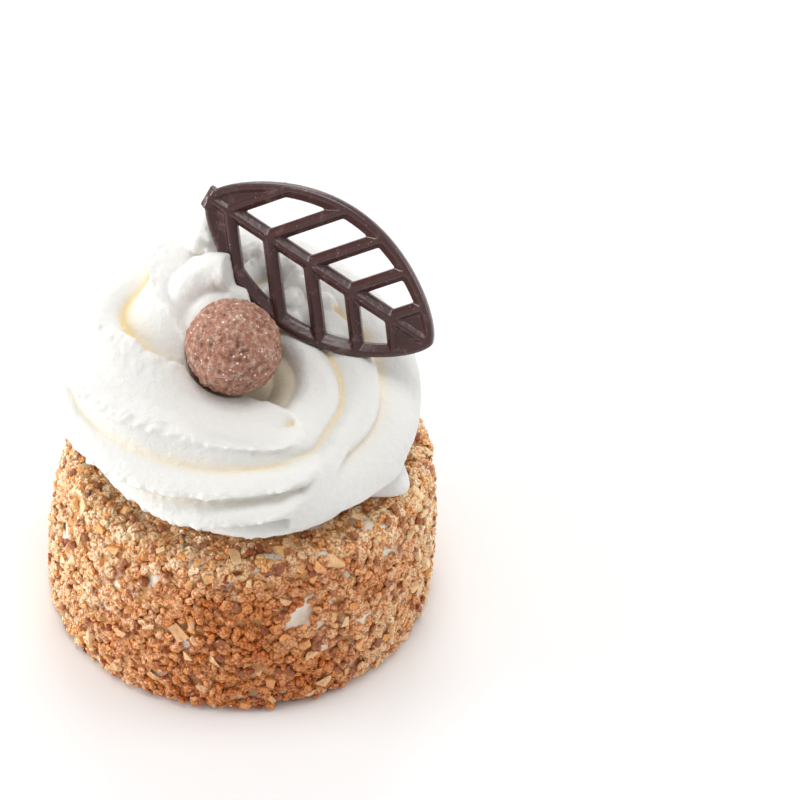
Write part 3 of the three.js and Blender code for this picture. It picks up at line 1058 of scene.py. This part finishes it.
def ridge(angle, section):
    """0 on a crease between two ridges and 1 on a ridge.

    Rounded tubes near the rope's start, with a wide panel outside them, and thin lips further on.
    """
    way = way_round(angle, section)
    opened = smooth(way, *ALONG["spread"]) - smooth(way, *ALONG["gather"])
    spacing = RIDGE["start_spacing"] + (RIDGE["full_spacing"] - RIDGE["start_spacing"]) * opened
    left = np.maximum(0, 1 - way / RIDGE["wind_end"]) ** RIDGE["wind_power"]
    phase = (section - RIDGE["anchor"]) / spacing - RIDGE["turns"] + RIDGE["wind_up"] * left
    shifted = 1 - smooth(way, *ALONG["start"]) + smooth(way, *ALONG["lips"])
    phase = phase - RIDGE["lip_shift"] * shifted
    phase = phase - RIDGE["rim_shift"] * smooth(phase, *RIM_LIP) * smooth(way, *ALONG["rim_lip"])
    second = smooth(phase, *SECOND_LIP_IN) * (1 - smooth(phase, *SECOND_LIP_OUT))
    phase = phase - RIDGE["second_up"] * second * near(angle, SECOND_LIP_AT, SECOND_LIP_WIDTH)

    panelled = 1 - smooth(way, *ALONG["panel_ends"])
    widened = 1 + RIDGE["wide_tube"] * smooth(way, *ALONG["tube_widens"]) * panelled
    tubes = np.where(phase < WIDE_AT, (phase - WIDE_AT) / widened + WIDE_AT, phase)
    share = tubes - np.floor(tubes)
    off = np.minimum(share, 1 - share) * 2
    tube = np.maximum(0, 1 - off**2) ** RIDGE["tube_roundness"]
    tube += (1 - tube) * (tubes > 0) * (1 - smooth(way, *ALONG["inner_tubes"]))
    across = (RIDGE["panel_from"] - tubes) / (RIDGE["panel_from"] - RIDGE["panel_to"])
    in_panel = ((across > 0) & (across < 1)) * panelled
    rounded = tube + (np.maximum(0, across) ** RIDGE["panel_rise"] - tube) * in_panel
    before_tubes = 1 - smooth(way, *ALONG["start_smooth"])
    before_end = 1 - smooth(way, *ALONG["end_smooth"])
    rounded += (1 - rounded) * (tubes < -1) * before_tubes * before_end

    crease = RIDGE["lip_crease"]
    narrow = (phase > SECOND_LIP) * smooth(way, *ALONG["rim_crease"])
    narrow = np.maximum(phase > INNERMOST_LIP, narrow)
    front = RIDGE["front_crease"] + (RIDGE["rim_crease"] - RIDGE["front_crease"]) * narrow
    crease = crease + (front - crease) * smooth(way, *ALONG["front_lips"])
    share = phase - np.floor(phase)
    falling = 1 - (np.minimum(share, crease) / crease) ** RIDGE["lip_fall"]
    rising = (np.maximum(share - crease, 0) / (1 - crease)) ** RIDGE["lip_rise"]
    lip = np.where(share < crease, falling, rising)
    on_second = (phase > SECOND_LIP) * (phase < INNERMOST_LIP)
    faint = on_second * smooth(way, *ALONG["faint_crease"])
    lip = 1 - (1 - lip) * (1 - (1 - RIDGE["second_crease"]) * faint)
    lips = smooth(way, *ALONG["lips"]) * (1 - smooth(way, *ALONG["lips_end"]))
    return rounded + (lip - rounded) * lips, lips


def hollow_rim(angle):
    """The section angle of the hollow's rim, and 1 where there is a hollow beside it."""
    turn = (angle - HOLLOW_FROM) % 360
    beside = smooth(turn, *HOLLOW_DEEPENS) * (1 - smooth(turn, *HOLLOW_FADES))
    return np.interp(turn, *zip(*HOLLOW_RIM)), beside


def ring_point(angle, section, unevenness, tears):
    """A place on the rosette's surface."""
    middle, half_width, half_height = ring_section(angle)
    rim, beside = hollow_rim(angle)
    drawn = RING["hollow"] * smooth(section - rim, 0, RING["hollow_slope"]) * beside
    tucked = RING["tuck"] * smooth(-section, *RING["tuck_over"])
    tucked *= near(angle, RING["tuck_at"], RING["tuck_width"])
    height, lips = ridge(angle, section)
    lifted = RIDGE["overlap"] * smooth(way_round(angle, section), *ALONG["overlap"])
    on_rim = beside * np.exp(-(((section - rim) / RING["rim_tear"]) ** 2))
    torn = RIDGE["torn"] * lips * np.maximum(smooth(height, RIDGE["torn_above"], 1), on_rim) * tears
    size = 1 - RIDGE["depth"] * (1 - height) - drawn - tucked + lifted + unevenness + torn
    flare = RING["flare"] * near(angle, RING["flare_at"], RING["flare_width"])
    innermost = smooth(section, *RING["lean_from"]) * (1 - smooth(section, *RING["lean_to"]))
    at_left = near(angle, RING["lean_at"], RING["lean_width"])
    lean = RING["lean_in"] * at_left * innermost - RING["lean_back"]
    overhang = section + lean * lips * height**3
    r = RING["radius"] + half_width * size * np.cos(np.radians(overhang))
    r += flare * smooth(-section, *RING["flare_over"])
    z = middle + half_height * size * np.sin(np.radians(overhang))
    turn = np.radians(angle)
    lowest = DRUM_HEIGHT + GAP
    return np.stack([r * np.cos(turn), r * np.sin(turn), np.maximum(z, lowest)], axis=-1)


def ring_angles(places):
    """The ring angle and the section angle of places on the rosette, and their size there."""
    angle = np.degrees(np.arctan2(places[:, 1], places[:, 0])) % 360
    middle, half_width, half_height = ring_section(angle)
    out = (np.hypot(places[:, 0], places[:, 1]) - RING["radius"]) / half_width
    up = (places[:, 2] - middle) / half_height
    return angle, np.degrees(np.arctan2(up, out)), np.hypot(out, up)


def make_rope(settings):
    """The piped ring: a grid that is wrapped round the rope, from under it to its hollow."""
    columns, rows = settings.grid_round, settings.grid_over
    clear_selection()
    bpy.ops.mesh.primitive_grid_add(x_subdivisions=columns, y_subdivisions=rows, size=2)
    rope = bpy.context.object
    # Columns go round the ring. Row 0 is drawn together under the rope, row 1 is its edge on the
    # drum, and the last row is drawn together on the hollow's floor.
    places = points_of(rope)
    angle = np.round((places[:, 0] + 1) / 2 * columns) / columns * 360 % 360
    row = np.round((places[:, 1] + 1) / 2 * rows).astype(int)

    middle, _, half_height = ring_section(angle)
    reach = (middle - DRUM_HEIGHT - GAP) / half_height / (1 - RIDGE["depth"])
    start = -np.degrees(np.arcsin(np.minimum(reach, 1)))
    share = np.clip((row - 1) / (rows - 2), 0, 1)
    section = start + (RING["inner_end"] - start) * share
    even = ring_point(angle, section, 0, 0)
    unevenness = ROPE_UNEVENNESS * lumpy(even, 9 * MM, 3)
    pitch = settings.frill_pitch
    tears = relief_of(even, (pitch, 1, 11), (pitch / 2, 0.7, 12))
    placed = ring_point(angle, section, unevenness, tears)
    placed[row == 1, 2] = DRUM_HEIGHT + GAP
    placed[row == 0] = (0, 0, DRUM_HEIGHT + GAP)
    placed[row == rows] = (0, 0, DRUM_HEIGHT + RING["floor"])
    move_points(rope, placed)
    edit_all(rope)
    bpy.ops.mesh.remove_doubles(threshold=0.001 * MM)
    face_outwards()
    return rope


def make_lump(x, y, z, radius):
    """A torn lump of cream."""
    clear_selection()
    bpy.ops.mesh.primitive_ico_sphere_add(subdivisions=5, radius=radius, location=(x, y, z))
    bpy.ops.object.transform_apply(location=True)
    lump = bpy.context.object
    places = points_of(lump)
    torn = relief_of(places, (radius * 0.8, 0.2, 8), (radius * 0.3, 0.07, 9))
    move_points(lump, places + normals_of(lump) * (torn * radius)[:, None])
    return lump


def make_fold(path):
    """An inner fold: a tapering rope of cream with a torn end."""
    curve = bpy.data.curves.new("fold", "CURVE")
    curve.dimensions = "3D"
    curve.bevel_depth = MM
    curve.bevel_resolution = 12
    curve.resolution_u = 16
    curve.use_fill_caps = True
    spline = curve.splines.new("BEZIER")
    spline.bezier_points.add(len(path) - 1)
    for point, (x, y, z, radius) in zip(spline.bezier_points, path):
        point.co = Vector((x, y, z)) * MM
        point.radius = radius
        point.handle_left_type = point.handle_right_type = "AUTO"
    rope = bpy.data.objects.new("fold", curve)
    bpy.context.scene.collection.objects.link(rope)
    select_only(rope)
    bpy.ops.object.convert(target="MESH")
    fold = bpy.context.object
    places = points_of(fold)
    torn = FOLD_TEAR * lumpy(places, 2.4 * MM, 15)
    move_points(fold, places + normals_of(fold) * torn[:, None])
    return fold


def cut_away(obj, tool):
    """Cuts the tool's room out of the object and removes the tool."""
    apply_modifier(obj, "BOOLEAN", object=tool, operation="DIFFERENCE", solver="MANIFOLD")
    bpy.data.meshes.remove(tool.data)


def painted_crease_shade(places):
    """How much painted warm shade, the crease's colour, the cream takes: more in narrow, deep and
    inner creases.
    """
    angle, section, size = ring_angles(places)
    height, lips = ridge(angle, section)
    narrow = smooth(1 - height, *CREASE_SHADE["narrow"])
    wide = smooth(1 - height, *CREASE_SHADE["wide"])
    shade_share = CREASE_SHADE["anywhere"] * wide + CREASE_SHADE["behind_lip"] * narrow * lips
    shade_share += CREASE_SHADE["between_tubes"] * wide * (1 - lips)
    inner = CREASE_SHADE["outside"] + (1 - CREASE_SHADE["outside"]) * smooth(section, *CREASE_SHADE["inwards"])
    shade_share *= inner * smooth(1 - size, *CREASE_SHADE["deep"])
    rim, beside = hollow_rim(angle)
    inside = beside * smooth(section - rim, *CREASE_SHADE["below_rim"])
    return np.maximum(shade_share, CREASE_SHADE["hollow"] * inside)


def make_cream(settings):
    """The rosette: rope and lumps grown together, with frilled lips and room for ball and leaf."""
    lumps = [make_lump(*[size * MM for size in lump]) for lump in LUMPS]
    cream = join([make_rope(settings), make_fold(TONGUE), make_fold(UNDERFOLD), *lumps])
    apply_modifier(cream, "REMESH", mode="VOXEL", voxel_size=settings.voxel)
    apply_modifier(cream, "DECIMATE", ratio=CREAM_TRIANGLES / (2 * len(cream.data.polygons)))

    places = points_of(cream)
    angle, section, _ = ring_angles(places)
    height, lips = ridge(angle, section + FRILL_OFF_LIP)
    edge = lips * smooth(height, FRILLED_ABOVE, 1) * smooth(-section, *FRILL_OVER)
    frill = lumpy(places, 0.8 * MM, 14)
    grain = CREAM_GRAIN * lumpy(places, 0.9 * MM, 13)
    moved = normals_of(cream) * (edge * frill * settings.frill + grain)[:, None]
    free = places[:, 2] > DRUM_HEIGHT + 2 * GAP
    places[free] += moved[free]
    move_points(cream, places)

    nest = BALL_RADIUS + GAP / 2
    clear_selection()
    bpy.ops.mesh.primitive_ico_sphere_add(subdivisions=6, radius=nest, location=BALL_MIDDLE)
    cut_away(cream, bpy.context.object)
    cut_away(cream, leaf_blank(GAP / 2))
    # The crease attribute carries the painted warm shade
    put_attribute(cream, "crease", painted_crease_shade(points_of(cream)))
    select_only(cream)
    bpy.ops.object.shade_smooth()
    return cream


# ---- the chocolate ball ----

CRAG_LIMITS = (-1.2, 1)


def make_ball(settings):
    """The ball: a sphere with crags at three sizes."""
    clear_selection()
    bpy.ops.mesh.primitive_ico_sphere_add(
        subdivisions=7, radius=settings.radius - settings.crag, location=BALL_MIDDLE
    )
    bpy.ops.object.transform_apply(location=True)
    ball = bpy.context.object
    places = points_of(ball)
    relief = relief_of(places, (2.6 * MM, 0.4, 21), (1.1 * MM, 0.5, 22), (0.55 * MM, 0.5, 23))
    relief = np.clip(relief, *CRAG_LIMITS)
    outward = normals_of(ball)
    move_points(ball, places + outward * (relief * settings.crag)[:, None])
    put_attribute(ball, "height", relief)
    bpy.ops.object.shade_smooth()
    return ball


# ---- the chocolate leaf ----


def leaf_matrix():
    """From the leaf's own plane, with its stem at 0 and its length along X, to its place."""
    return (
        Matrix.Translation(LEAF["stem"])
        @ Matrix.Rotation(math.radians(LEAF["yaw"]), 4, "Z")
        @ Matrix.Rotation(math.radians(90 - LEAF["lean"]), 4, "X")
        @ Matrix.Rotation(-math.radians(LEAF["dip"]), 4, "Z")
    )


def blade_half_width(x, inset):
    """Half the width of a lens-shaped blade that keeps an inset to the leaf's outline."""
    share = np.clip((x - inset) / (LEAF["length"] - 2 * inset), 0, 1)
    return (LEAF["half_width"] - inset) * np.sin(math.pi * share) ** LEAF["bluntness"]


def blade_outline(inset, steps=60):
    """The blade's outline with an inset, with short steps near its ends."""
    turn = np.arange(2 * steps) / steps * math.pi
    side = np.where(np.arange(2 * steps) < steps, 1, -1)
    x = inset + (LEAF["length"] - 2 * inset) * (1 - np.cos(turn)) / 2
    return np.stack([x, side * blade_half_width(x, inset)], axis=1)


def closed_tube(name, rings):
    """A ring-shaped solid from outlines that follow each other round its section."""
    count = len(rings[0])
    faces = []
    for level in range(len(rings)):
        after = (level + 1) % len(rings)
        for step in range(count):
            ahead = (step + 1) % count
            faces.append([level * count + step, level * count + ahead,
                          after * count + ahead, after * count + step])
    tube = mesh_object(name, np.concatenate(rings), faces)
    edit_all(tube)
    face_outwards()
    return tube


def leaf_plate(name, outline, low, high):
    """A flat plate of an outline between two heights."""
    plate = mesh_object(name, [(x, y, low) for x, y in outline], [list(range(len(outline)))])
    edit_all(plate)
    bpy.ops.mesh.extrude_region_move(TRANSFORM_OT_translate={"value": (0, 0, high - low)})
    face_outwards()
    return plate


def leaf_blank(gap):
    """The room that the leaf takes in the cream."""
    reach = LEAF["thickness"] / 2 + gap
    blank = leaf_plate("leaf_blank", blade_outline(-gap), -reach, reach)
    blank.data.transform(leaf_matrix())
    return blank


def leaf_rim():
    """The rim: upright outside, a broad crest and a long slope to its inside."""
    bottom, top = -LEAF["thickness"] / 2, LEAF["thickness"] / 2
    rim = LEAF["rim"] + LEAF["draft"]
    section = ((0.06, bottom), (0, bottom * 0.6), (0, top * 0.35), (0.1, top * 0.8),
               (0.28, top), (0.45, top * 0.97), (0.9, top * 0.3), (1, top * 0.1), (1, bottom))
    rings = []
    for share, height in section:
        outline = blade_outline(share * rim)
        rings.append(np.column_stack([outline, np.full(len(outline), height)]))
    return closed_tube("rim", rings)


def leaf_bar(start, end, width):
    """A rib: a bar with a roof along its middle, between two points of the leaf's plane."""
    start, end = Vector((*start, 0)), Vector((*end, 0))
    length = (end - start).length
    bottom, top = -LEAF["thickness"] / 2, LEAF["thickness"] / 2
    eaves = top * LEAF["eaves"]
    clear_selection()
    bpy.ops.mesh.primitive_cube_add(size=1, location=(0, 0, 0))
    bar = bpy.context.object
    edit_all(bar)
    bpy.ops.transform.resize(value=(length, width + LEAF["draft"], eaves - bottom))
    bpy.ops.mesh.select_mode(type="FACE")
    bpy.ops.mesh.select_all(action="DESELECT")
    edit = bmesh.from_edit_mesh(bar.data)
    for face in edit.faces:
        face.select_set(face.normal.z > 0.5)
    bmesh.update_edit_mesh(bar.data)
    bpy.ops.mesh.extrude_region_move(TRANSFORM_OT_translate={"value": (0, 0, top - eaves)})
    bpy.ops.transform.resize(value=(1, LEAF["roof"], 1))
    bpy.ops.object.mode_set(mode="OBJECT")
    turn = math.atan2(end.y - start.y, end.x - start.x)
    place = Matrix.Translation((start + end) / 2 + Vector((0, 0, (eaves + bottom) / 2)))
    bar.data.transform(place @ Matrix.Rotation(turn, 4, "Z"))
    return bar


HALVINGS = 40                # of the search for a rib's end
WEB_STEPS = 16


def rib_end(index):
    """Where a rib's middle line meets the rim's crest."""
    foot = LEAF["first_rib"] + index * LEAF["rib_spacing"]
    slope = math.tan(math.radians(LEAF["rib_angle"]))
    inset = LEAF["rim"] * LEAF["crest"]
    low, high = 0.0, LEAF["half_width"]
    for _ in range(HALVINGS):
        y = (low + high) / 2
        if blade_half_width(foot + y / slope, inset) > y:
            low = y
        else:
            high = y
    return foot + low / slope, low


def leaf_web(index):
    """The thin closed cell at the stem (index 0) or past the last rib, across both sides."""
    slope = math.tan(math.radians(LEAF["rib_angle"]))
    inset = LEAF["rim"] * LEAF["web_in"]
    foot = LEAF["first_rib"] + (index - 1) * LEAF["rib_spacing"]
    if index == 0:
        end_x, end_y = rib_end(0)
        edge = np.linspace(inset, end_x, WEB_STEPS)
        corner = [(LEAF["first_rib"], 0)]
    else:
        end_x, end_y = rib_end(LEAF["ribs"] - 1)
        edge = np.linspace(end_x, LEAF["length"] - inset, WEB_STEPS)
        corner = [(foot, 0)]
    upper = [(x, float(blade_half_width(x, inset))) for x in edge]
    if index == 0:
        outline = upper + corner + [(x, -y) for x, y in reversed(upper[1:])]
    else:
        outline = corner + upper + [(x, -y) for x, y in reversed(upper[:-1])]
    return leaf_plate("web", outline, -LEAF["web"] / 2, LEAF["web"] / 2)


def make_leaf(settings):
    """The leaf: rim, midrib, ribs and two closed ends cast as one."""
    inset = LEAF["rim"] * LEAF["midrib_in"]
    parts = [leaf_rim()]
    parts.append(leaf_bar((inset, 0), (LEAF["length"] - inset, 0), LEAF["midrib"]))
    for index in range(LEAF["ribs"]):
        x, y = rib_end(index)
        foot = LEAF["first_rib"] + index * LEAF["rib_spacing"]
        for side in (1, -1):
            parts.append(leaf_bar((foot, 0), (x, side * y), LEAF["rib"]))
    end = LEAF["stem_end"]
    parts.append(leaf_bar((end.x, -end.y), (end.x, end.y), LEAF["rim"]))
    parts += [leaf_web(0), leaf_web(LEAF["ribs"])]
    leaf = join(parts)
    apply_modifier(leaf, "REMESH", mode="VOXEL", voxel_size=settings.voxel)
    apply_modifier(leaf, "SMOOTH", factor=0.5, iterations=2)
    leaf.data.transform(leaf_matrix())
    leaf.matrix_world = Matrix.Identity(4)
    select_only(leaf)
    bpy.ops.object.shade_smooth()
    return leaf


# ---- the stage ----


def add_area_light(name, place, power):
    """A soft square light that faces the pastry."""
    bpy.ops.object.light_add(type="AREA", location=place)
    light = bpy.context.object
    light.name = name
    light.rotation_euler = (LIGHT_AIM - Vector(place)).to_track_quat("-Z", "Y").to_euler()
    light.data.size = LIGHT_SIZE
    light.data.energy = power


def add_camera():
    """The camera: the aim is turned, not shifted, so that the target falls on its pixel."""
    rise = CAMERA["elevation"]
    ahead = Vector((0, math.cos(rise), -math.sin(rise)))
    up = Vector((0, math.sin(rise), math.cos(rise)))
    right = Vector((1, 0, 0))
    across = FRAME_PIXELS / 2 - CAMERA["target_pixel"][0]
    down = CAMERA["target_pixel"][1] - FRAME_PIXELS / 2
    axis = (ahead * CAMERA["focal_pixels"] + right * across + up * down).normalized()
    swing = ahead.rotation_difference(axis)
    upright = Matrix((right, up, -ahead)).transposed()
    turn = swing.to_matrix() @ upright
    bpy.ops.object.camera_add()
    camera = bpy.context.object
    camera.matrix_world = (
        Matrix.Translation(CAMERA["target"] - ahead * CAMERA["distance"]) @ turn.to_4x4()
    )
    camera.data.sensor_width = SENSOR_WIDTH_MM
    camera.data.lens = CAMERA["focal_pixels"] / FRAME_PIXELS * SENSOR_WIDTH_MM
    camera.data.clip_start, camera.data.clip_end = CLIP
    bpy.context.scene.camera = camera


def make_stage(settings):
    """Plain floor, white surroundings, soft light and the camera."""
    clear_selection()
    bpy.ops.mesh.primitive_plane_add(size=FLOOR_SIZE, location=(0, 0, 0))
    floor = bpy.context.object
    floor.name = "floor"
    material, tree, shader = new_material("matt white floor")
    set_inputs(tree, shader, {"Base Color": opaque(settings.floor), "Roughness": 0.9})
    floor.data.materials.append(material)

    for name, place in LIGHTS.items():
        add_area_light(name, place, getattr(settings, name + "_power"))
    add_camera()

    world = bpy.data.worlds.new("white surroundings")
    world.use_nodes = True
    sky = world.node_tree.nodes["Background"]
    sky.inputs["Color"].default_value = (1, 1, 1, 1)
    sky.inputs["Strength"].default_value = settings.sky
    bpy.context.scene.world = world
    bpy.context.scene.view_settings.view_transform = "Standard"


# ---- operators, one for each piece or group of like pieces ----


class MERINGUE_OT_coating(bpy.types.Operator):
    """Make the drum's creamy coating"""

    bl_idname = "meringue.coating"
    bl_label = "Coating"

    def execute(self, context):
        settings = context.scene.meringue_drum
        drum = make_coating(settings)
        finish_piece(drum, "drum_coating", coating_material(settings), "nut_coating", "base")
        return {"FINISHED"}


class MERINGUE_OT_nuts(bpy.types.Operator):
    """Lay the chopped nuts on the drum"""

    bl_idname = "meringue.nuts"
    bl_label = "Nuts"

    def execute(self, context):
        make_nuts(context.scene.meringue_drum)
        return {"FINISHED"}


class MERINGUE_OT_cream(bpy.types.Operator):
    """Pipe the cream rosette"""

    bl_idname = "meringue.cream"
    bl_label = "Cream"

    def execute(self, context):
        settings = context.scene.meringue_cream
        cream = make_cream(settings)
        finish_piece(cream, "cream_rosette", cream_material(settings), "cream", "cream")
        return {"FINISHED"}


class MERINGUE_OT_ball(bpy.types.Operator):
    """Roll the chocolate ball"""

    bl_idname = "meringue.ball"
    bl_label = "Chocolate Ball"

    def execute(self, context):
        settings = context.scene.meringue_ball
        ball = make_ball(settings)
        finish_piece(ball, "chocolate_ball", ball_material(settings), "dusted_chocolate", "truffle")
        return {"FINISHED"}


class MERINGUE_OT_leaf(bpy.types.Operator):
    """Cast the chocolate leaf"""

    bl_idname = "meringue.leaf"
    bl_label = "Chocolate Leaf"

    def execute(self, context):
        settings = context.scene.meringue_leaf
        leaf = make_leaf(settings)
        finish_piece(leaf, "chocolate_leaf", leaf_material(settings), "dark_chocolate", "leaf")
        return {"FINISHED"}


class MERINGUE_OT_stage(bpy.types.Operator):
    """Set the floor, the light and the camera"""

    bl_idname = "meringue.stage"
    bl_label = "Stage"

    def execute(self, context):
        make_stage(context.scene.meringue_stage)
        return {"FINISHED"}


OPERATORS = (
    MERINGUE_OT_coating,
    MERINGUE_OT_nuts,
    MERINGUE_OT_cream,
    MERINGUE_OT_ball,
    MERINGUE_OT_leaf,
    MERINGUE_OT_stage,
)


class MERINGUE_PT_panel(bpy.types.Panel):
    """Lists the pastry's pieces"""

    bl_idname = "MERINGUE_PT_panel"
    bl_label = "Hazelnut Meringue"
    bl_space_type = "VIEW_3D"
    bl_region_type = "UI"
    bl_category = "Meringue"

    def draw(self, context):
        for operator in OPERATORS:
            self.layout.operator(operator.bl_idname)


SETTINGS = {
    "meringue_drum": DrumSettings,
    "meringue_cream": CreamSettings,
    "meringue_ball": BallSettings,
    "meringue_leaf": LeafSettings,
    "meringue_stage": StageSettings,
}


def register():
    """Registers the settings, the operators and the panel."""
    for name, group in SETTINGS.items():
        bpy.utils.register_class(group)
        setattr(bpy.types.Scene, name, PointerProperty(type=group))
    for item in (*OPERATORS, MERINGUE_PT_panel):
        bpy.utils.register_class(item)


def unregister():
    """Takes them out again."""
    for item in (MERINGUE_PT_panel, *reversed(OPERATORS)):
        bpy.utils.unregister_class(item)
    for name, group in SETTINGS.items():
        delattr(bpy.types.Scene, name)
        bpy.utils.unregister_class(group)


def main():
    """Makes the whole pastry and its stage."""
    register()
    bpy.ops.meringue.coating()
    bpy.ops.meringue.nuts()
    bpy.ops.meringue.cream()
    bpy.ops.meringue.ball()
    bpy.ops.meringue.leaf()
    bpy.ops.meringue.stage()


if __name__ == "__main__":
    main()
